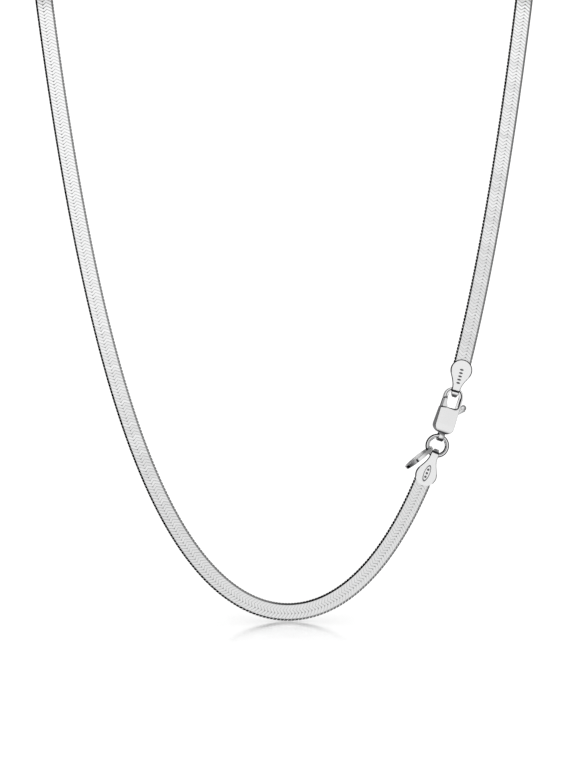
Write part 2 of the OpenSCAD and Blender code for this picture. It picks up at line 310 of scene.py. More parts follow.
blend = add_node(ground, "ShaderNodeMixShader", {
    0: greys(ground, share, 0, spot_end, SPOT_FADE), 1: matt.outputs[0], 2: gloss.outputs[0]})
add_node(ground, "ShaderNodeOutputMaterial", {0: blend.outputs[0]})
floor.data.materials.append(floor_paint)
print("polished spot", round(SPOT.x * spot_end, 3), "m to each side")

# %% Soft light from above and behind
KEY_ENERGY, KEY_SPREAD, KEY_WAY = 0.6, math.radians(40), Vector((0.1, -0.35, -1))
bpy.ops.object.light_add(type="SUN", location=(0, 0.2, 0.5))
key = bpy.context.object
key.name = "key"
key.data.angle = KEY_SPREAD
key.data.energy = KEY_ENERGY
key.visible_glossy = False
key.rotation_euler = KEY_WAY.to_track_quat("-Z", "Y").to_euler()
print("key light", key.data.energy, "from behind")

# %% [markdown]
# ## One link
# The real chain is woven from small flat plates, each bent like a wave so that it nests in
# its neighbours. One plate is modelled in millimetres: a bar is cut across, its cuts are
# moved along the chain, its ends are narrowed and its edges bevelled.

# %% The link's shape
LINK_PITCH = 0.835
LINK_GAP = 0.02
WAVE = [(-2.21, 0.93), (-1.97, 0.78), (-1.69, 0.59), (-0.42, -0.26), (0.25, 0.24),
        (0.42, 0.35), (0.59, 0.24), (1.69, -0.54), (1.97, -0.72), (2.21, -0.87)]
TOLERANCE = 1e-3


def only(objects):
    bpy.ops.object.select_all(action="DESELECT")
    for o in objects:
        o.select_set(True)
    bpy.context.view_layer.objects.active = objects[0]


def pick(test, kind="verts"):
    """Selects what passes the test in edit mode, and nothing else."""
    mesh = bpy.context.object.data
    bpy.ops.mesh.select_mode(type={"verts": "VERT", "edges": "EDGE", "faces": "FACE"}[kind])
    bpy.ops.mesh.select_all(action="DESELECT")
    work = bmesh.from_edit_mesh(mesh)
    found = [e for e in getattr(work, kind) if test(e)]
    for e in found:
        e.select_set(True)
    work.select_flush_mode()
    bmesh.update_edit_mesh(mesh)
    return len(found)


bpy.ops.object.select_all(action="DESELECT")
bpy.ops.mesh.primitive_cube_add(size=1, scale=(2 * WAVE[-1][0], LINK_PITCH - LINK_GAP, BAND_T))
link = bpy.context.object
link.name = "link_model"
bpy.ops.object.transform_apply(location=False, rotation=False, scale=True)
bpy.ops.object.mode_set(mode="EDIT")
for x, _ in WAVE[1:-1]:
    bpy.ops.mesh.select_all(action="SELECT")
    bpy.ops.mesh.bisect(plane_co=(x, 0, 0), plane_no=(1, 0, 0), threshold=1e-5)
print("link bar", len(bmesh.from_edit_mesh(link.data).verts), "points")

# %% Bevel its long edges
# The front bevel is made shallow, so that two neighbours meet in a soft line.
EDGE_BEVEL, FRONT_DROP = 0.07, 0.02


def long_edge(e):
    a, b = e.verts
    return a.co.z * b.co.z > 0 and abs(a.co.x - b.co.x) > TOLERANCE


pick(long_edge, "edges")
bpy.ops.mesh.bevel(offset=EDGE_BEVEL, segments=1, affect="EDGES")
pick(lambda v: abs(v.co.z - BAND_T / 2 + EDGE_BEVEL) < TOLERANCE)
bpy.ops.transform.translate(value=(0, 0, EDGE_BEVEL - FRONT_DROP))
print("link", len(bmesh.from_edit_mesh(link.data).faces), "faces")

# %% A dimple in the notch
NOTCH_X, NOTCH_DEPTH, NOTCH_NARROWED = 0.42, 0.14, 0.75
pick(lambda v: abs(v.co.x - NOTCH_X) < TOLERANCE and BAND_T / 2 - v.co.z > FRONT_DROP / 2
     and v.co.z > 0)
bpy.ops.transform.translate(value=(0, 0, -NOTCH_DEPTH))
pick(lambda v: abs(v.co.x - NOTCH_X) < TOLERANCE and v.co.z > 0)
bpy.ops.transform.resize(value=(1, NOTCH_NARROWED, 1), center_override=(NOTCH_X, 0, 0))
print("dimple", NOTCH_DEPTH, "mm deep")

# %% Bend it like a wave and narrow its ends
# The outer end of a link stays broader than the inner one, where the chain's edge is beaded.
ENDS = {-2.21: (1, 0.74, 0.2), -1.97: (1, 0.94, 0.65), 1.97: (1, 0.98, 0.65),
        2.21: (1, 0.94, 0.2)}
for x, shift in WAVE:
    pick(lambda v: abs(v.co.x - x) < TOLERANCE)
    bpy.ops.transform.translate(value=(0, shift, 0))
    if x in ENDS:
        bpy.ops.transform.resize(value=ENDS[x], center_override=(x, shift, 0))
bpy.ops.mesh.select_all(action="SELECT")
bpy.ops.mesh.normals_make_consistent(inside=False)
bpy.ops.object.mode_set(mode="OBJECT")
print("wave from", WAVE[0][1], "to", WAVE[-1][1], "mm along the chain")

# %% Paint shade into its grooves
# An attribute tells the silver where to paint shade on a link: on the flanks beside the groove
# and in the dimple of the notch. Its ends, on the chain's edges, get painted shade too.
SIDE_SHADE = 0.6
END_SHADES = {-2.21: 0.8, -1.97: 0.12, 1.97: 0.3, 2.21: 1}
FLANK = (LINK_PITCH - LINK_GAP - EDGE_BEVEL) / 2
wave_at = {round(x, 2): shift for x, shift in WAVE}
groove = link.data.attributes.new("groove", "FLOAT", "POINT")
for v, mark in zip(link.data.vertices, groove.data):
    x = round(v.co.x, 2)
    in_notch = abs(v.co.x - NOTCH_X) < TOLERANCE and 0 < v.co.z < BAND_T / 2 - NOTCH_DEPTH / 2
    on_flank = abs(v.co.y - wave_at[x]) > FLANK
    mark.value = max(1 if in_notch else SIDE_SHADE * on_flank, END_SHADES.get(x, 0))
print("link", len(link.data.polygons), "faces")

# %% The chain's way, from the upper tab round the neck to the lower tab
SHORT_WAY, LONG_WAY = 400, 1200


def sampled(make, first, last, n=SHORT_WAY):
    return [make(first + (last - first) * i / n) for i in range(n + 1)]


branch_foot = UPPER_TAB_Z - TAB_GRIP * math.cos(branch_angle(UPPER_TAB_Z))
lower_top_t = curve_t(RIGHT_RISE, LOWER_TAB_Z + TAB_GRIP * math.cos(LOWER_TAB_ANGLE))
line = (
    sampled(lambda z: (leaned(branch_x(z), z), FRONT), branch_foot, DRAPE_H)
    + sampled(right_shoulder.at, 0, right_shoulder.sweep)
    + sampled(nape_at, 0, math.pi, LONG_WAY)
    + sampled(left_shoulder.at, left_shoulder.sweep, 0)
    + sampled(lambda t: (curve_point(-LEFT_SPREAD, LEFT_RISE, t), FRONT), LEFT_TOP_T, 0,
              LONG_WAY)
    + sampled(lambda t: (curve_point(RIGHT_SPREAD, RIGHT_RISE, t), FRONT), 0, lower_top_t)
)
reach = [0.0]
for (a, _), (b, _) in zip(line, line[1:]):
    reach.append(reach[-1] + (b - a).length)
print("chain", round(reach[-1], 1), "mm long")

# %% A point and a turn for each link
# Each link rocks a little about the chain's length and nods a little about its width.
FIRST_LINK = 0.65
ROCK, NOD = 0.7, 0.5
count = round((reach[-1] - 2 * FIRST_LINK) / LINK_PITCH) + 1
step = (reach[-1] - 2 * FIRST_LINK) / (count - 1)
shake = random.Random(7)
places, turns = [], []
k = 0
for i in range(count):
    s = FIRST_LINK + i * step
    while k < len(line) - 2 and reach[k + 1] < s:
        k += 1
    (a, normal_a), (b, normal_b) = line[k], line[k + 1]
    f = (s - reach[k]) / max(reach[k + 1] - reach[k], 1e-9)
    along = (b - a).normalized()
    normal = normal_a.lerp(normal_b, f)
    across = along.cross(normal).normalized()
    face = across.cross(along)
    turn = Matrix((across, along, face)).transposed()
    turn = turn @ Matrix.Rotation(math.radians(shake.uniform(-ROCK, ROCK)), 3, "Y")
    turn = turn @ Matrix.Rotation(math.radians(shake.uniform(-NOD, NOD)), 3, "X")
    places.append((a.lerp(b, f) - ORIGIN) * MM)
    turns.append(turn.to_euler())
print(count, "links at", round(step, 4), "mm")

# %% [markdown]
# ## From one link to the whole chain
# Geometry nodes put a copy of the link on every point, turned as the point says, and make
# the copies real. The modifier is then applied, so that the chain is one plain mesh.

# %% Copy the link along the chain
dots = bpy.data.meshes.new("link_places")
dots.from_pydata([tuple(p) for p in places], [], [])
turned = dots.attributes.new("turn", "FLOAT_VECTOR", "POINT")
turned.data.foreach_set("vector", [v for t in turns for v in t])
chain = bpy.data.objects.new("snake_chain_links", dots)
bpy.context.scene.collection.objects.link(chain)
copies = bpy.data.node_groups.new("copies", "GeometryNodeTree")
for way_through in ("INPUT", "OUTPUT"):
    copies.interface.new_socket("Geometry", in_out=way_through, socket_type="NodeSocketGeometry")
points = add_node(copies, "NodeGroupInput")
model = add_node(copies, "GeometryNodeObjectInfo", {"Object": link})
how_turned = add_node(copies, "GeometryNodeInputNamedAttribute", {"Name": "turn"},
                      data_type="FLOAT_VECTOR")
put = add_node(copies, "GeometryNodeInstanceOnPoints", {
    "Points": points.outputs[0], "Instance": model.outputs["Geometry"],
    "Rotation": how_turned.outputs["Attribute"], "Scale": (MM, MM, MM)})
real = add_node(copies, "GeometryNodeRealizeInstances", {0: put.outputs[0]})
add_node(copies, "NodeGroupOutput", {0: real.outputs[0]})
only([chain])
maker = chain.modifiers.new("copies", "NODES")
maker.node_group = copies
bpy.ops.object.modifier_apply(modifier="copies")
bpy.data.objects.remove(link)
bpy.ops.object.shade_smooth_by_angle(angle=math.radians(12))
print("chain mesh", len(chain.data.polygons), "faces,", [round(v, 4) for v in chain.dimensions])

# %% [markdown]
# ## Silver
# Sterling silver is almost white and takes a soft polish. The finish has a faint cloudy
# tint and fine scratches, which only show where a reflection breaks over them.

# %% Silver finish
GROOVE_SHADE = 0.8
CLOUD_SCALE, CLOUD_DETAIL, CLOUD_TINT = 420, 4, (0.95, 1.02)
GLOSS_CHANGE = 0.2
SCRATCH_SCALE, SCRATCH_DETAIL = 9000, 2
SCRATCH_STRENGTH, SCRATCH_DEPTH = 0.15, 0.00001


def silver(name, colour, roughness, groove_shaded=False):
    paint = bpy.data.materials.new(name)
    paint.use_nodes = True
    tree = paint.node_tree
    spot = add_node(tree, "ShaderNodeTexCoord").outputs["Object"]
    cloud = add_node(tree, "ShaderNodeTexNoise", {
        "Vector": spot, "Scale": CLOUD_SCALE, "Detail": CLOUD_DETAIL}).outputs["Fac"]
    low, high = [(*[min(1, c * tint) for c in colour], 1) for tint in CLOUD_TINT]
    base = add_node(tree, "ShaderNodeMix", {"Factor": cloud, "A": low, "B": high},
                    data_type="RGBA").outputs["Result"]
    # The groove attribute darkens the base colour: painted shade in the links' grooves, dimples and
    # ends.
    if groove_shaded:
        groove = add_node(tree, "ShaderNodeAttribute", attribute_name="groove")
        shade = add_node(tree, "ShaderNodeMapRange", {
            "Value": groove.outputs["Fac"], "To Min": 1, "To Max": 1 - GROOVE_SHADE})
        base = add_node(tree, "ShaderNodeMix", {
            "Factor": 1, "A": base, "B": shade.outputs["Result"],
        }, data_type="RGBA", blend_type="MULTIPLY").outputs["Result"]
    rough = add_node(tree, "ShaderNodeMapRange", {
        "Value": cloud, "To Min": roughness * (1 - GLOSS_CHANGE),
        "To Max": roughness * (1 + GLOSS_CHANGE)})
    fine = add_node(tree, "ShaderNodeTexNoise", {
        "Vector": spot, "Scale": SCRATCH_SCALE, "Detail": SCRATCH_DETAIL})
    bump = add_node(tree, "ShaderNodeBump", {
        "Height": fine.outputs["Fac"], "Strength": SCRATCH_STRENGTH, "Distance": SCRATCH_DEPTH})
    look = tree.nodes["Principled BSDF"]
    look.inputs["Metallic"].default_value = 1.0
    tree.links.new(base, look.inputs["Base Color"])
    tree.links.new(rough.outputs["Result"], look.inputs["Roughness"])
    tree.links.new(bump.outputs["Normal"], look.inputs["Normal"])
    return paint


chain_silver = silver("chain_silver", (0.95, 0.952, 0.955), 0.13, groove_shaded=True)
tab_silver = silver("tab_silver", (0.975, 0.977, 0.98), 0.3)
clasp_silver = silver("clasp_silver", (0.98, 0.982, 0.986), 0.1)
lever_silver = silver("lever_silver", (0.84, 0.842, 0.847), 0.1)
ring_silver = silver("ring_silver", (0.95, 0.952, 0.956), 0.08)
side_silver = silver("side_silver", (0.985, 0.987, 0.99), 0.38)
# The five paints below are painted shade: dark silvers laid where polished metal shows shade or dark
# reflections, on creases, chamfers, grooves, rims, the clasp's left wall and the gate. The paint for
# the marks also darkens the stamped cuts.
painted_light_shade = silver("painted_light_shade", (0.8, 0.8, 0.81), 0.5)
painted_gate_shade = silver("painted_gate_shade", (0.45, 0.45, 0.46), 0.4)
marks_and_painted_shade = silver("marks_and_painted_shade", (0.2, 0.2, 0.21), 0.4)
painted_black_shade = silver("painted_black_shade", (0.08, 0.08, 0.085), 0.5)
painted_grey_shade = silver("painted_grey_shade", (0.4, 0.4, 0.41), 0.3)
chain.data.materials.clear()
chain.data.materials.append(chain_silver)
print("silver", [m.name for m in bpy.data.materials])

# %% [markdown]
# ## Fittings, each in its own millimetres
# Every fitting is drawn with x to the right, y up and z to the viewer, and is then set down
# at its place in the drape's plane, leaning to the right and turned about its own length.

# %% Helpers for the fittings
WALL_LEAN, NEAR = 0.3, 0.02


def place(x, z, tilt=0.0, turn=0.0):
    """From a fitting's own millimetres to its place in the frame, in metres."""
    return (Matrix.Scale(MM, 4) @ Matrix.Translation(-ORIGIN) @ Matrix.Rotation(-LEAN, 4, "X")
            @ Matrix.Translation((x, 0, z)) @ Matrix.Rotation(math.pi / 2, 4, "X")
            @ Matrix.Rotation(-tilt, 4, "Z") @ Matrix.Rotation(turn, 4, "Y"))


def settle(piece, matrix):
    piece.matrix_world = matrix
    only([piece])
    bpy.ops.object.transform_apply(location=True, rotation=True, scale=True)


def modified(piece, kind, **settings):
    only([piece])
    modifier = piece.modifiers.new(kind.lower(), kind)
    for key, value in settings.items():
        setattr(modifier, key, value)
    bpy.ops.object.modifier_apply(modifier=modifier.name)


def right_way_out(piece):
    """Merges doubled points and turns every face outwards."""
    only([piece])
    bpy.ops.object.mode_set(mode="EDIT")
    bpy.ops.mesh.select_all(action="SELECT")
    bpy.ops.mesh.remove_doubles(threshold=TOLERANCE)
    bpy.ops.mesh.normals_make_consistent(inside=False)
    bpy.ops.object.mode_set(mode="OBJECT")


def smooth_but_flats(piece, angle, flat_area):
    """Smooth shading, but wide flat faces stay flat."""
    only([piece])
    bpy.ops.object.shade_smooth_by_angle(angle=math.radians(angle))
    for face in piece.data.polygons:
        if face.area > flat_area:
            face.use_smooth = False


def painted(piece, paints, choice):
    """Gives the piece its paints, and each face the one that the choice names by number."""
    piece.data.materials.clear()
    for paint in paints:
        piece.data.materials.append(paint)
    for face in piece.data.polygons:
        face.material_index = choice(face)


def chamfered(face, flattest=0.9):
    """Whether a face leans between a wall and a flat front or back."""
    return WALL_LEAN < abs(face.normal.z) < flattest


# %% [markdown]
# ## End tabs
# Each tab is one strip of silver sheet, folded in half round the hook or the ring, and its
# two pear-shaped leaves hold the end of the chain. It could be cut from a block, but a sheet
# is what it is: half of it is drawn from a disc, extruded edge by edge down to the fold,
# mirrored, given its thickness and chamfered. The crease above the fold is painted with
# shade, and so are the upper tab's chamfer and one side of the lower tab's.

# %% The strip
# The disc keeps its own curve down to its 20th corner on each side, counted from the top.
TAB_R, TAB_CORNERS = 2.7, 61
TAB_LEAVE = math.radians(20 * 360 / TAB_CORNERS - 90)
TAB_NECK_HALF, TAB_T, LEAF_T = 1.02, 2.4, 0.32
TAB_CHAMFER, END_CHAMFER = 0.15, 0.25
TAB_FOOT_Y, TAB_NECK_Y = -TAB_R * math.sin(TAB_LEAVE), -4.87
CREASE, CREASE_DROP, CREASE_HALF = 0.55, 0.3, (1.0, 0.94)
PEAR_ROWS, SHORTEST_ROW = 8, 0.05
BEND = [(-6.1, 0.92, 0.9), (-6.32, 0.84, 0.84), (-6.6, 0.66, 0.77), (-6.83, 0.42, 0.7),
        (-6.98, 0.17, 0.66), (-7.02, 0, 0.65)]


def pear_row(k):
    """A row of the strip, from the round end (0) to the neck (1), as y, z and half width."""
    start = (2 * k ** 3 - 3 * k ** 2 + 1) * TAB_R * math.cos(TAB_LEAVE)
    leave = (k ** 3 - 2 * k ** 2 + k) * math.tan(TAB_LEAVE) * (TAB_NECK_Y - TAB_FOOT_Y)
    end = (3 * k ** 2 - 2 * k ** 3) * TAB_NECK_HALF
    return TAB_FOOT_Y + k * (TAB_NECK_Y - TAB_FOOT_Y), TAB_T / 2, start + leave + end


def round_end(v):
    """A point on the inner line of the chamfer round the end, on the sheet's outside."""
    on_line = abs(v.co.xy.length - TAB_R + TAB_CHAMFER) < 0.01
    return on_line and v.co.y > TAB_FOOT_Y + 0.1 and abs(v.co.z) > TAB_T / 2 - LEAF_T + NEAR


def tab_strip(name, taper, plain_from, crease_y):
    """A taper above zero leans the leaves in at the round end. Above plain_from edges stay sharp."""
    bpy.ops.object.select_all(action="DESELECT")
    bpy.ops.mesh.primitive_circle_add(vertices=TAB_CORNERS, radius=TAB_R, fill_type="NGON")
    strip = bpy.context.object
    strip.name = name
    bpy.ops.object.mode_set(mode="EDIT")
    bpy.ops.transform.translate(value=(0, 0, TAB_T / 2))
    bpy.ops.mesh.bisect(plane_co=(0, TAB_FOOT_Y, 0), plane_no=(0, 1, 0), clear_inner=True)
    pick(lambda e: max(abs(v.co.y - TAB_FOOT_Y) for v in e.verts) < TOLERANCE, "edges")
    last = pear_row(0)
    pear = [pear_row(k / PEAR_ROWS) for k in range(1, PEAR_ROWS + 1)]
    crease = [(crease_y, TAB_T / 2, CREASE_HALF[0]),
              (crease_y - CREASE, TAB_T / 2 - CREASE_DROP, CREASE_HALF[1])]
    bend = [row for row in BEND if row[0] < crease_y - CREASE - SHORTEST_ROW]
    for row in pear + crease + bend:
        if row == crease[0]:
            bpy.ops.mesh.select_all(action="SELECT")
            bpy.ops.transform.rotate(value=taper, orient_axis="X",
                                     center_override=(0, TAB_NECK_Y, TAB_T / 2))
            pick(lambda e: max(abs(v.co.y - TAB_NECK_Y) for v in e.verts) < TOLERANCE, "edges")
        step_y, step_z = row[0] - last[0], row[1] - last[1]
        bpy.ops.mesh.extrude_edges_move(TRANSFORM_OT_translate={"value": (0, step_y, step_z)})
        bpy.ops.transform.resize(value=(row[2] / last[2], 1, 1), center_override=(0, 0, 0))
        last = row
    bpy.ops.object.mode_set(mode="OBJECT")
    modified(strip, "MIRROR", use_axis=(False, False, True), merge_threshold=0.01)
    right_way_out(strip)
    modified(strip, "SOLIDIFY", thickness=LEAF_T, offset=-1, use_even_offset=True)
    bpy.ops.object.mode_set(mode="EDIT")
    pick(lambda e: e.calc_face_angle(0) > math.radians(60)
         and max(v.co.y for v in e.verts) < plain_from, "edges")
    bpy.ops.mesh.bevel(offset=TAB_CHAMFER, segments=1, affect="EDGES")
    print(name, pick(round_end), "points on its round end's chamfer")
    narrower = (TAB_R - END_CHAMFER) / (TAB_R - TAB_CHAMFER)
    bpy.ops.transform.resize(value=(narrower, narrower, 1), center_override=(0, 0, 0))
    bpy.ops.object.mode_set(mode="OBJECT")
    return strip


# %% Both tabs
TAPER = math.radians(1.5)
UPPER_CREASE_Y, LOWER_CREASE_Y, LOWER_PLAIN_Y = -5.2, -5.85, 1.5
TAB_PAINTS = (tab_silver, painted_black_shade, marks_and_painted_shade)


def tab_shade_paint(face, crease_y, rim):
    """Plain silver but for painted shade on the crease and the chamfer, where the rim says which
    paint.
    """
    if crease_y - CREASE < face.center.y < crease_y:
        return 1 if abs(face.normal.z) > WALL_LEAN else 0
    return rim(face.normal) if chamfered(face) and face.center.y > crease_y else 0


upper_tab = tab_strip("upper_tab_strip", TAPER, math.inf, UPPER_CREASE_Y)
lower_tab = tab_strip("lower_tab_strip", -TAPER, LOWER_PLAIN_Y, LOWER_CREASE_Y)
painted(upper_tab, TAB_PAINTS,
        lambda face: tab_shade_paint(face, UPPER_CREASE_Y, lambda up: 1 if up.y > 0.2 else 2))
painted(lower_tab, TAB_PAINTS,
        lambda face: tab_shade_paint(face, LOWER_CREASE_Y, lambda up: 2 if up.x > 0.2 else 0))
print("tab", len(upper_tab.data.polygons), "faces", [round(v, 2) for v in upper_tab.dimensions])

# %% [markdown]
# ## Stamped marks
# The tabs bear plain stamped marks: an oval with three pips on one and a row of five longer
# pips on the other. They are cut with punches, whose dark paint is left on the cut faces, so the
# cuts are darker than the sheet.

# %% Punches
MARK_DEPTH, DISH, PUNCH_LIFT = 0.12, 1.3, 0.02


def punch(x, y, width, height, z, ring=False):
    bpy.ops.object.select_all(action="DESELECT")
    if ring:
        bpy.ops.mesh.primitive_torus_add(major_radius=1, minor_radius=MARK_DEPTH,
                                         major_segments=48, minor_segments=8)
    else:
        bpy.ops.mesh.primitive_uv_sphere_add(radius=1, segments=16, ring_count=8)
        bpy.ops.transform.resize(value=(1, 1, MARK_DEPTH * DISH))
    tool = bpy.context.object
    tool.scale = (width / 2, height / 2, tool.scale.z)
    tool.location = (x, y, z + PUNCH_LIFT)
    bpy.ops.object.transform_apply(location=True, rotation=True, scale=True)
    return tool


def stamp(tab, punches, cut_paint):
    for tool in punches:
        tool.data.materials.append(cut_paint)
        modified(tab, "BOOLEAN", object=tool, operation="DIFFERENCE", solver="EXACT",
                 material_mode="TRANSFER")
        bpy.data.objects.remove(tool)
    smooth_but_flats(tab, angle=30, flat_area=0.3)


# %% [markdown]
# ## Turned parts
# The rings and the clasp's lug are each one section, turned round an axis by spin.

# %% Sections and their turns
def section_at(x, width, height, corner, steps):
    """A rounded section in the xz plane, centred at x."""
    bpy.ops.object.select_all(action="DESELECT")
    bpy.ops.mesh.primitive_plane_add(size=1, location=(x, 0, 0), rotation=(math.pi / 2, 0, 0))
    section = bpy.context.object
    section.scale = (width, height, 1)
    bpy.ops.object.transform_apply(location=True, rotation=True, scale=True)
    bpy.ops.object.mode_set(mode="EDIT")
    bpy.ops.mesh.select_all(action="SELECT")
    bpy.ops.mesh.bevel(offset=corner, segments=steps, affect="VERTICES")
    bpy.ops.object.mode_set(mode="OBJECT")
    return section


def spun(section, name, turn, steps=96):
    """Turns the section, which stands in the xz plane, about z."""
    section.name = name
    bpy.ops.object.mode_set(mode="EDIT")
    bpy.ops.mesh.select_all(action="SELECT")
    if turn > 2 * math.pi - TOLERANCE:
        bpy.ops.mesh.delete(type="ONLY_FACE")
        bpy.ops.mesh.select_all(action="SELECT")
    bpy.ops.mesh.spin(steps=steps, angle=turn, center=(0, 0, 0), axis=(0, 0, 1))
    bpy.ops.mesh.select_all(action="SELECT")
    bpy.ops.mesh.remove_doubles(threshold=1e-4)
    bpy.ops.mesh.normals_make_consistent(inside=False)
    bpy.ops.object.mode_set(mode="OBJECT")
    return section

# %% [markdown]
# ## Clasp body
# The body is cast in one piece. Its outline is a plate of rows, cut to the side view's
# shape. The opening is cut through it, a thin flange is set into the opening, and the hook's
# gap and the lever's room are cut. The edges are then broken with chamfers, and the lug and
# the lever's pin are joined on.

# %% Plates drawn row by row
CLASP_X, CLASP_Z, CLASP_TILT, CLASP_TURN = 41.5, 53.8, math.radians(18.5), math.radians(15)
clasp_place = place(CLASP_X, CLASP_Z, CLASP_TILT, CLASP_TURN)
CLASP_HALF, LEFT_STRETCH = 2.35, 1.14
HOUSING_TOP, HOUSING_BOTTOM, HOUSING_CORNER = -2.95, -9.65, 1.9


def corner_rows(y, half, radius, steps=7):
    """Rows of a plate whose lower corners are rounded, below y."""
    angles = [math.pi / 2 * k / steps for k in range(steps + 1)]
    return [(y - radius * math.sin(a), half - radius * (1 - math.cos(a))) for a in angles]


def row_plate(rows, half_t, disc=0.0, stretched=True):
    """Rows are a height and a half width. A disc, where there is one, is the plate's top."""
    bpy.ops.object.select_all(action="DESELECT")
    if disc:
        bpy.ops.mesh.primitive_circle_add(vertices=64, radius=disc, fill_type="NGON")
        plate = bpy.context.object
        bpy.ops.object.mode_set(mode="EDIT")
        bpy.ops.mesh.bisect(plane_co=(0, 0, 0), plane_no=(0, 1, 0), clear_inner=True)
        last = (0, disc)
    else:
        (top, half), last = rows[0], rows[1]
        bpy.ops.mesh.primitive_plane_add(size=1, location=(0, (top + last[0]) / 2, 0))
        plate = bpy.context.object
        plate.scale = (2 * half, top - last[0], 1)
        bpy.ops.object.transform_apply(location=True, rotation=True, scale=True)
        bpy.ops.object.mode_set(mode="EDIT")
        pick(lambda v: abs(v.co.y - last[0]) < TOLERANCE)
        bpy.ops.transform.resize(value=(last[1] / half, 1, 1), center_override=(0, 0, 0))
        rows = rows[2:]
    pick(lambda e: max(abs(v.co.y - last[0]) for v in e.verts) < TOLERANCE, "edges")
    for y, half in rows:
        bpy.ops.mesh.extrude_edges_move(TRANSFORM_OT_translate={"value": (0, y - last[0], 0)})
        bpy.ops.transform.resize(value=(half / last[1], 1, 1), center_override=(0, 0, 0))
        last = (y, half)
    if stretched:
        pick(lambda v: v.co.x < -TOLERANCE)
        bpy.ops.transform.resize(value=(LEFT_STRETCH, 1, 1), center_override=(0, 0, 0))
    bpy.ops.object.mode_set(mode="OBJECT")
    right_way_out(plate)
    modified(plate, "SOLIDIFY", thickness=2 * half_t, offset=0)
    right_way_out(plate)
    return plate


def volume(piece):
    work = bmesh.new()
    work.from_mesh(piece.data)
    found = work.calc_volume(signed=True)
    work.free()
    return found


def combine(piece, tool, operation):
    only([tool])
    bpy.ops.object.transform_apply(location=True, rotation=True, scale=True)
    before, cutter = volume(piece), volume(tool)
    modified(piece, "BOOLEAN", object=tool, operation=operation, solver="EXACT")
    bpy.data.objects.remove(tool)
    print(operation.lower(), round(before, 2), "and", round(cutter, 2), "give",
          round(volume(piece), 2), "cubic mm")


# %% Outline, side view and opening
HOOK_HALF_T, CLASP_HALF_T, FOOT_HALF_T = 0.425, 1.3, 0.9
BLANK_HALF_T, SIDE_BLANK_HALF_T, CUTTER_HALF_T = 1.5, 4, 2
SIDE_VIEW = [(2.36, 0.26), (2.1, HOOK_HALF_T), (0.9, HOOK_HALF_T), (-0.4, 0.56), (-3, 0.85),
             (-7.6, CLASP_HALF_T), (-9, CLASP_HALF_T), (-9.75, FOOT_HALF_T)]
SIDE_ROUNDING, ROUNDED_Y = 0.4, (-9.7, 0.5)
RIM_HALF, RIM_CORNER, RIM_STEPS = 1.78, 0.8, 5
outline_rows = corner_rows(HOUSING_BOTTOM + HOUSING_CORNER, CLASP_HALF, HOUSING_CORNER)
clasp_body = row_plate(outline_rows, BLANK_HALF_T, disc=CLASP_HALF)
clasp_body.name = "clasp_body_polished"
side_view = row_plate(SIDE_VIEW, SIDE_BLANK_HALF_T, stretched=False)


def side_corner(e):
    """A corner of the side view between the hook and the foot."""
    a, b = e.verts[0].co, e.verts[1].co
    runs_across = abs(a.x - b.x) < TOLERANCE and abs(a.y - b.y) < TOLERANCE
    bent = e.calc_face_angle(0) > 0.05
    return runs_across and bent and ROUNDED_Y[0] < a.y < ROUNDED_Y[1]


only([side_view])
bpy.ops.object.mode_set(mode="EDIT")
print("side corners", pick(side_corner, "edges"))
bpy.ops.mesh.bevel(offset=SIDE_ROUNDING, segments=4, affect="EDGES")
bpy.ops.object.mode_set(mode="OBJECT")
side_view.rotation_euler = (0, math.pi / 2, 0)
combine(clasp_body, side_view, "INTERSECT")
opening_rows = corner_rows(HOUSING_TOP + RIM_CORNER, RIM_HALF, RIM_CORNER, RIM_STEPS)
combine(clasp_body, row_plate(opening_rows, CUTTER_HALF_T, disc=RIM_HALF), "DIFFERENCE")
print("clasp plate", len(clasp_body.data.polygons), "faces")

# %% Flange, and the cuts for the lever
def box(x, y, z_half, moves=()):
    """A box between two xs and two ys. Each move shifts the corner nearest to a point."""
    bpy.ops.object.select_all(action="DESELECT")
    bpy.ops.mesh.primitive_cube_add(size=1, location=(sum(x) / 2, sum(y) / 2, 0),
                                    scale=(x[1] - x[0], y[1] - y[0], 2 * z_half))
    block = bpy.context.object
    bpy.ops.object.transform_apply(location=True, rotation=True, scale=True)
    bpy.ops.object.mode_set(mode="EDIT")
    for corner, shift in moves:
        pick(lambda v: abs(v.co.x - corner[0]) + abs(v.co.y - corner[1]) < TOLERANCE)
        bpy.ops.transform.translate(value=(*shift, 0))
    bpy.ops.object.mode_set(mode="OBJECT")
    return block


FLANGE_R, FLANGE_FOOT_Y, FLANGE_HALF, FLANGE_HALF_T = 2.1, -3.4, 1.3, 0.2
FLANGE_SILL, FLANGE_CORNER = 0.58, 0.6
# The cuts are the gap that the gate closes, whose corners lie at four different heights, the
# slot that the lever turns in, and the way out for its stem.
GAP_X, GAP_Y = (-3.15, -1.2), (-3.05, -0.85)
SLOT_X, SLOT_Y, SLOT_HALF_T = (-2.05, 1.3), (-6.15, -2.5), 0.5
STEM_X, STEM_Y = (1.2, 2.9), (-5.8, -3)
flange = row_plate([(FLANGE_FOOT_Y, FLANGE_R)], FLANGE_HALF_T, disc=FLANGE_R)
flange_rows = corner_rows(HOUSING_TOP + FLANGE_SILL, FLANGE_HALF, FLANGE_CORNER, RIM_STEPS)
combine(flange, row_plate(flange_rows, half_t=1, disc=FLANGE_HALF), "DIFFERENCE")
combine(clasp_body, flange, "UNION")
gap = box(GAP_X, GAP_Y, CUTTER_HALF_T,
          [((GAP_X[0], GAP_Y[1]), (0, -0.42)), ((GAP_X[1], GAP_Y[1]), (0, 0.465)),
           ((GAP_X[0], GAP_Y[0]), (0, -0.3)), ((GAP_X[1], GAP_Y[0]), (0, 0.1))])
combine(clasp_body, gap, "DIFFERENCE")
combine(clasp_body, box(SLOT_X, SLOT_Y, SLOT_HALF_T), "DIFFERENCE")
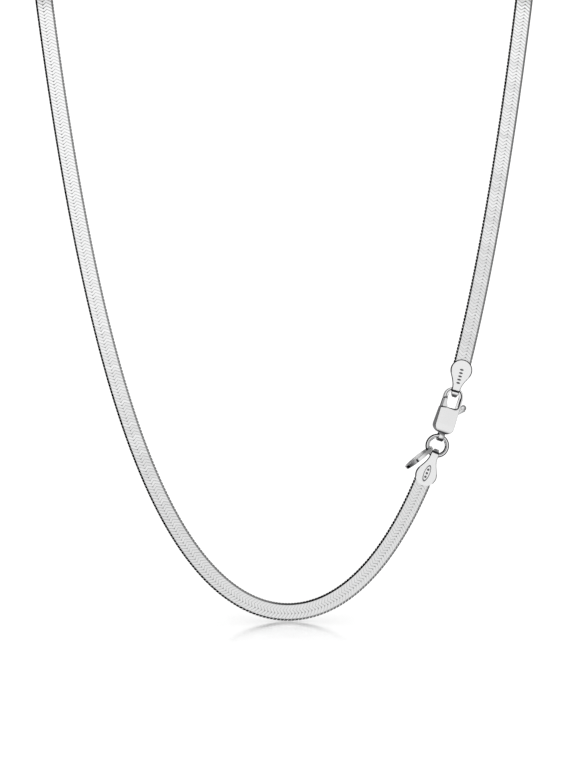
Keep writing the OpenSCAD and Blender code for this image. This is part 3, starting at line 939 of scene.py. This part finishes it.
stem_way = box(STEM_X, STEM_Y, SLOT_HALF_T,
               [((STEM_X[1], STEM_Y[0]), (0, 1.2)), ((STEM_X[1], STEM_Y[1]), (0, 1.45))])
combine(clasp_body, stem_way, "DIFFERENCE")

# %% Chamfered edges
OPENING, OPENING_REACH = Vector((0, -1, 0)), 1.9
CHAMFERS = {"outer": 0.1, "opening": 0.25, "gap": 0.24, "flange": 0.1}
GAP_ENDS_X, GAP_SPAN_Y, FLAT_LEAN = -1.15, (-3.5, -0.2), 0.7


def front_edge(e, kind):
    """An edge of the front or back: kind is outer, opening, gap or flange."""
    mid = (e.verts[0].co + e.verts[1].co) / 2
    flat = [f for f in e.link_faces if f.normal.z * mid.z > FLAT_LEAN * abs(mid.z)]
    wall = [f for f in e.link_faces if abs(f.normal.z) < WALL_LEAN]
    if not (flat and wall):
        return False
    if abs(mid.z) < FLANGE_HALF_T + NEAR:
        inside = (mid - OPENING).length < OPENING_REACH and abs(mid.z) > FLANGE_HALF_T / 2
        return kind == "flange" and inside
    beside_gap = mid.x < GAP_ENDS_X and GAP_SPAN_Y[0] < mid.y < GAP_SPAN_Y[1]
    if beside_gap and abs(wall[0].normal.y) > FLAT_LEAN:
        return kind == "gap"
    if mid.y > HOUSING_TOP - 0.05 and wall[0].normal.dot(OPENING - mid) > 0:
        return kind == "opening"
    return kind == "outer"


only([clasp_body])
bpy.ops.object.mode_set(mode="EDIT")
bpy.ops.mesh.select_all(action="SELECT")
bpy.ops.mesh.remove_doubles(threshold=0.002)
for kind, width in CHAMFERS.items():
    print(kind, "edges", pick(lambda e: front_edge(e, kind), "edges"))
    bpy.ops.mesh.bevel(offset=width, segments=1, affect="EDGES", clamp_overlap=False)
bpy.ops.object.mode_set(mode="OBJECT")
print("clasp body", len(clasp_body.data.polygons), "faces")

# %% Lug and pin
LUG_Y, LUG_R, LUG_HOLE_R, LUG_W, LUG_CORNER = -10.5, 1.2, 0.82, 1.5, 0.1
PIVOT, PIN_R, PIN_LENGTH = (-0.1, -5.1, 0), 0.3, 1.9
wall = section_at((LUG_R + LUG_HOLE_R) / 2, LUG_R - LUG_HOLE_R, LUG_W, LUG_CORNER, 2)
lug = spun(wall, "lug", 2 * math.pi, steps=48)
lug.rotation_euler = (0, math.pi / 2, 0)
lug.location = (0, LUG_Y, 0)
bpy.ops.object.select_all(action="DESELECT")
bpy.ops.mesh.primitive_cylinder_add(vertices=24, radius=PIN_R, depth=PIN_LENGTH,
                                    location=PIVOT)
pin = bpy.context.object
only([clasp_body, lug, pin])
bpy.ops.object.join()
smooth_but_flats(clasp_body, angle=30, flat_area=4)
print("clasp body", len(clasp_body.data.polygons), "faces in all")

# %% The body's paint: painted shade on the left wall, lighter along its middle strip
SPINE_HALF, LEFT_X, FOOT_Y = 0.42, -1, -7.9
SILL_HALF_HEIGHT, SILL_FROM_Z, TIP_Y = 0.45, 0.4, (-1.4, -0.2)
BODY_PAINTS = (clasp_silver, painted_grey_shade, painted_black_shade, marks_and_painted_shade, painted_light_shade)


def on_left(normal, middle, flattest):
    """Whether a face is on the housing's left wall, below the opening."""
    outwards = normal.x < -0.2 and abs(normal.z) < flattest
    return outwards and middle.x < LEFT_X and middle.y < HOUSING_TOP


def body_shade_paint(face):
    """Painted shade: black at the tip, sill and opening's chamfer, dark at the foot, grey on the
    left.
    """
    middle, up = face.center, face.normal
    left = on_left(up, middle, 0.5)
    if left and abs(middle.z) > SPINE_HALF:
        return 1
    at_sill = abs(middle.y - HOUSING_TOP) < SILL_HALF_HEIGHT and abs(middle.z) > SILL_FROM_Z
    at_tip = middle.x < GAP_ENDS_X and TIP_Y[0] < middle.y < TIP_Y[1] and abs(up.z) < 0.9
    inwards = (OPENING - middle).dot(up) > 0.2 and middle.y > HOUSING_TOP - 0.5
    if at_sill and up.y > 0.2 or at_tip and up.y < -0.3 or inwards and chamfered(face):
        return 2
    if up.y < -0.2 and middle.y < FOOT_Y and chamfered(face, 0.93):
        return 3
    return 4 if left else 0


only([clasp_body])
bpy.ops.object.mode_set(mode="EDIT")
for z in (-SPINE_HALF, SPINE_HALF):
    pick(lambda f: on_left(f.normal, f.calc_center_median(), WALL_LEAN), "faces")
    bpy.ops.mesh.bisect(plane_co=(0, 0, z), plane_no=(0, 0, 1))
bpy.ops.object.mode_set(mode="OBJECT")
painted(clasp_body, BODY_PAINTS, body_shade_paint)
print("clasp body", len(clasp_body.data.polygons), "faces after the spine's two lines")

# %% [markdown]
# ## Lever
# The lever is one stamped piece with a gate, a hub, a stem and a thumb knob. A copy of its
# solid is cleaned, the knob is flattened, the edges are rounded and a thumb pad is joined
# on. The gate gets painted shade: grey on its outer side and darker at its top.

# %% A copy of the lever's solid in the clasp's own millimetres
GATE_X, GATE_SIDE, GATE_TOP = -1, -2.15, -0.98
lever_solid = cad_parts["clasp_lever"]
clasp_lever = bpy.data.objects.new("clasp_lever_polished", lever_solid.data.copy())
bpy.context.scene.collection.objects.link(clasp_lever)
settle(clasp_lever, clasp_place.inverted() @ lever_solid.matrix_world)
bpy.ops.object.mode_set(mode="EDIT")
bpy.ops.mesh.select_all(action="SELECT")
bpy.ops.mesh.remove_doubles(threshold=0.002)
bpy.ops.mesh.dissolve_limited(angle_limit=math.radians(1))
pick(lambda v: v.co.x < GATE_X)
bpy.ops.transform.translate(value=(-(LEFT_STRETCH - 1) * CLASP_HALF, 0, 0))
bpy.ops.object.mode_set(mode="OBJECT")
print("lever", len(clasp_lever.data.polygons), "faces before its bevels")

# %% The lever's knob, edges and thumb pad
# The knob's points are the ones between two distances from its centre.
KNOB, KNOB_SHELL, KNOB_FLAT = Vector((3.33, -1.98, 0)), (0.8, 0.84), (0.95, 0.95, 0.6)
STEM_ANGLE = math.radians(42)
PAD_SIZE, PAD_SHIFT, PAD_ROUNDING = (2.1, 0.74, 0.84), Vector((-0.95, -0.57, 0)), 0.14
LEVER_ROUNDING = 0.09
bpy.ops.object.select_all(action="DESELECT")
bpy.ops.mesh.primitive_cube_add(size=1, location=KNOB, rotation=(0, 0, STEM_ANGLE))
pad = bpy.context.object
pad.scale = PAD_SIZE
pad.location += Matrix.Rotation(STEM_ANGLE, 3, "Z") @ PAD_SHIFT
bpy.ops.object.transform_apply(location=True, rotation=True, scale=True)
modified(pad, "BEVEL", width=PAD_ROUNDING, segments=3)
only([clasp_lever])
bpy.ops.object.mode_set(mode="EDIT")
pick(lambda v: KNOB_SHELL[0] < (v.co - KNOB).length < KNOB_SHELL[1])
bpy.ops.transform.resize(value=KNOB_FLAT, center_override=KNOB)
bpy.ops.object.mode_set(mode="OBJECT")
modified(clasp_lever, "BEVEL", width=LEVER_ROUNDING, segments=3, limit_method="ANGLE",
         angle_limit=math.radians(50), use_clamp_overlap=False)
combine(clasp_lever, pad, "UNION")

# %% The gate's painted shade
ACROSS, UPWARDS = (1, 0, 0), (0, 1, 0)


def gate_shade_paint(face):
    """Painted shade: dark at the gate's top and grey on its outer side."""
    if face.center.x >= GATE_X:
        return 0
    return 2 if face.center.y > GATE_TOP else int(face.center.x < GATE_SIDE)


only([clasp_lever])
bpy.ops.object.mode_set(mode="EDIT")
for point, facing in (((GATE_X, 0, 0), ACROSS), ((GATE_SIDE, 0, 0), ACROSS),
                      ((0, GATE_TOP, 0), UPWARDS)):
    pick(lambda f: f.calc_center_median().x < GATE_X or abs(f.normal.z) > 0.9, "faces")
    bpy.ops.mesh.bisect(plane_co=point, plane_no=facing)
bpy.ops.object.mode_set(mode="OBJECT")
painted(clasp_lever, (lever_silver, painted_gate_shade, painted_grey_shade), gate_shade_paint)
smooth_but_flats(clasp_lever, angle=30, flat_area=1.5)
print("lever", len(clasp_lever.data.polygons), "faces")

# %% [markdown]
# ## Rings
# The jump ring is wire with broken corners, bent to a circle. It has a groove round both
# its faces, painted with shade, a fine seam where its ends meet and a rim painted with
# near black shade. The ring that hangs in it is flat band; where its outer side shows, it
# is painted with shade, dark in two bands and grey between them.

# %% The jump ring
JUMP_R, JUMP_WIRE_R = 2.45, 0.54
WIRE_CORNER, WIRE_PARTS, GROOVE_DEPTH = 0.3, 6, 0.05
GROOVE_X = -2 * (JUMP_WIRE_R - WIRE_CORNER) / WIRE_PARTS
SEAM, SEAM_ANGLE, RIM_FROM = 0.03, math.radians(62), JUMP_R + JUMP_WIRE_R / 2


def on_face(v):
    return abs(v.co.z) > JUMP_WIRE_R - TOLERANCE


def jump_shade_paint(face):
    """Painted shade: very dark on the rim, and dark in the groove."""
    radius, lean = face.center.xy.length, abs(face.normal.z)
    if radius > RIM_FROM and lean > 0.2:
        return 2
    return int(abs(radius - JUMP_R - GROOVE_X) < -GROOVE_X and 0.6 < lean < 0.9)


jump_wire = section_at(JUMP_R, 2 * JUMP_WIRE_R, 2 * JUMP_WIRE_R, WIRE_CORNER, 1)
bpy.ops.object.mode_set(mode="EDIT")
pick(lambda e: on_face(e.verts[0]) and on_face(e.verts[1]), "edges")
bpy.ops.mesh.subdivide(number_cuts=WIRE_PARTS - 1)
pick(lambda v: on_face(v) and abs(v.co.x - JUMP_R - GROOVE_X) < NEAR)
bpy.ops.transform.resize(value=(1, 1, 1 - GROOVE_DEPTH / JUMP_WIRE_R), center_override=(0, 0, 0))
bpy.ops.object.mode_set(mode="OBJECT")
jump_ring = spun(jump_wire, "jump_ring_wire", 2 * math.pi - SEAM / JUMP_R)
only([jump_ring])
bpy.ops.object.shade_smooth_by_angle(angle=math.radians(35))
painted(jump_ring, (ring_silver, marks_and_painted_shade, painted_black_shade), jump_shade_paint)
print("jump ring", len(jump_ring.data.polygons), "faces")

# %% The side ring
SIDE_R, SIDE_WALL, SIDE_W, SIDE_CORNER = 4.2, 0.45, 0.85, 0.1
FIRST_SHADE_AT, END_AT, END_LINE_HALF = (0.8, 1.35), (3.3, 3.65), 0.3


def band_shade_paint(face):
    """Painted shade: dark at the first band and the end, grey between them, bright in the middle
    past the end.
    """
    along, outwards = face.center.x, face.normal.dot(face.center) > SIDE_R / 2
    if along > END_AT[1] and abs(face.center.z) < END_LINE_HALF:
        return 3
    if face.center.y > 0 and outwards and FIRST_SHADE_AT[0] < along < END_AT[1]:
        return 1 if FIRST_SHADE_AT[1] <= along <= END_AT[0] else 2
    return 0


band = section_at(SIDE_R - SIDE_WALL / 2, SIDE_WALL, SIDE_W, SIDE_CORNER, 4)
side_ring = spun(band, "side_ring_band", 2 * math.pi)
only([side_ring])
bpy.ops.object.shade_smooth_by_angle(angle=math.radians(35))
painted(side_ring, (side_silver, painted_light_shade, painted_black_shade, ring_silver), band_shade_paint)
print("side ring", len(side_ring.data.polygons), "faces")

# %% [markdown]
# ## Everything in its place
# The tabs are marked, and all the fittings are set down in the frame. Each takes the place of
# its solid. All of them hang with the necklace, but the lever turns on its pin.

# %% Marks on both tabs
MARK_X, PIP, BAR, OVAL = 0.05, (0.62, 0.62), (1, 0.48), (1.35, 4)
PIPS_Y, BARS_Y, OVAL_Y = (-1.45, -0.5, 0.45), (0.1, -0.75, -1.6, -2.45, -3.3), -0.5


def leaf_z(y, taper):
    """How far the outside of a leaf is from the tab's middle."""
    return TAB_T / 2 - math.tan(taper) * (y - TAB_NECK_Y)


oval = [punch(MARK_X, OVAL_Y, *OVAL, leaf_z(OVAL_Y, -TAPER), ring=True)]
oval += [punch(MARK_X, y, *PIP, leaf_z(y, -TAPER)) for y in PIPS_Y]
stamp(lower_tab, oval, marks_and_painted_shade)
stamp(upper_tab, [punch(MARK_X, y, *BAR, leaf_z(y, TAPER)) for y in BARS_Y], marks_and_painted_shade)
print("marks", len(PIPS_Y) + 1, "and", len(BARS_Y))

# %% Set the fittings down
# Both tabs sit a little to the right. The upper one leans about its fold, which the hook holds.
UPPER_SHIFT, UPPER_TILT, FOLD_Y = 0.03, math.radians(-1.6), -5.5
LOWER_SHIFT, LOWER_TILT = 0.25, math.radians(0.6)
JUMP_SWING, JUMP_TURN = math.radians(20), math.radians(7)
SIDE_ANGLE, SIDE_WAY, SIDE_ROLL = math.radians(207), math.radians(218), math.radians(2.5)
SIDE_PLAY = 0.2
settle(upper_tab, place(branch_x(UPPER_TAB_Z), UPPER_TAB_Z, branch_angle(UPPER_TAB_Z))
       @ Matrix.Translation((UPPER_SHIFT, FOLD_Y, 0)) @ Matrix.Rotation(UPPER_TILT, 4, "Z")
       @ Matrix.Translation((0, -FOLD_Y, 0)))
settle(lower_tab, place(RIGHT_SPREAD * math.asinh(LOWER_TAB_T) + LOWER_SHIFT, LOWER_TAB_Z,
                        math.pi + LOWER_TAB_ANGLE + LOWER_TILT))
lug_x = CLASP_X + LUG_Y * math.sin(CLASP_TILT)
lug_z = CLASP_Z + LUG_Y * math.cos(CLASP_TILT)
ring_place = place(lug_x - JUMP_R * math.sin(JUMP_SWING), lug_z - JUMP_R * math.cos(JUMP_SWING),
                   JUMP_SWING, JUMP_TURN)
side_reach = SIDE_R - SIDE_WALL - JUMP_WIRE_R - SIDE_PLAY
side_place = (ring_place @ Matrix.Rotation(SIDE_ANGLE + JUMP_SWING, 4, "Z")
              @ Matrix.Translation((JUMP_R, 0, 0))
              @ Matrix.Rotation(SIDE_WAY - SIDE_ANGLE, 4, "Z")
              @ Matrix.Rotation(math.pi / 2 + SIDE_ROLL, 4, "X")
              @ Matrix.Translation((side_reach, 0, 0)))
settle(jump_ring, ring_place @ Matrix.Rotation(SEAM_ANGLE, 4, "Z"))
settle(side_ring, side_place)
settle(clasp_body, clasp_place)
settle(clasp_lever, clasp_place)
print("lug at", round(lug_x, 2), round(lug_z, 2), "in the drape's plane")

# %% Join the pieces to the frame
for piece, node, body, slot in (
    (chain, "snake_chain", "necklace", "chain_silver"),
    (upper_tab, "upper_tab", "necklace", "tab_silver"),
    (lower_tab, "lower_tab", "necklace", "tab_silver"),
    (clasp_body, "clasp_body", "necklace", "clasp_silver"),
    (clasp_lever, "clasp_lever", "lever", "lever_silver"),
    (jump_ring, "jump_ring", "necklace", "ring_silver"),
    (side_ring, "side_ring", "necklace", "ring_silver"),
):
    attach(piece, body)
    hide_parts(node)
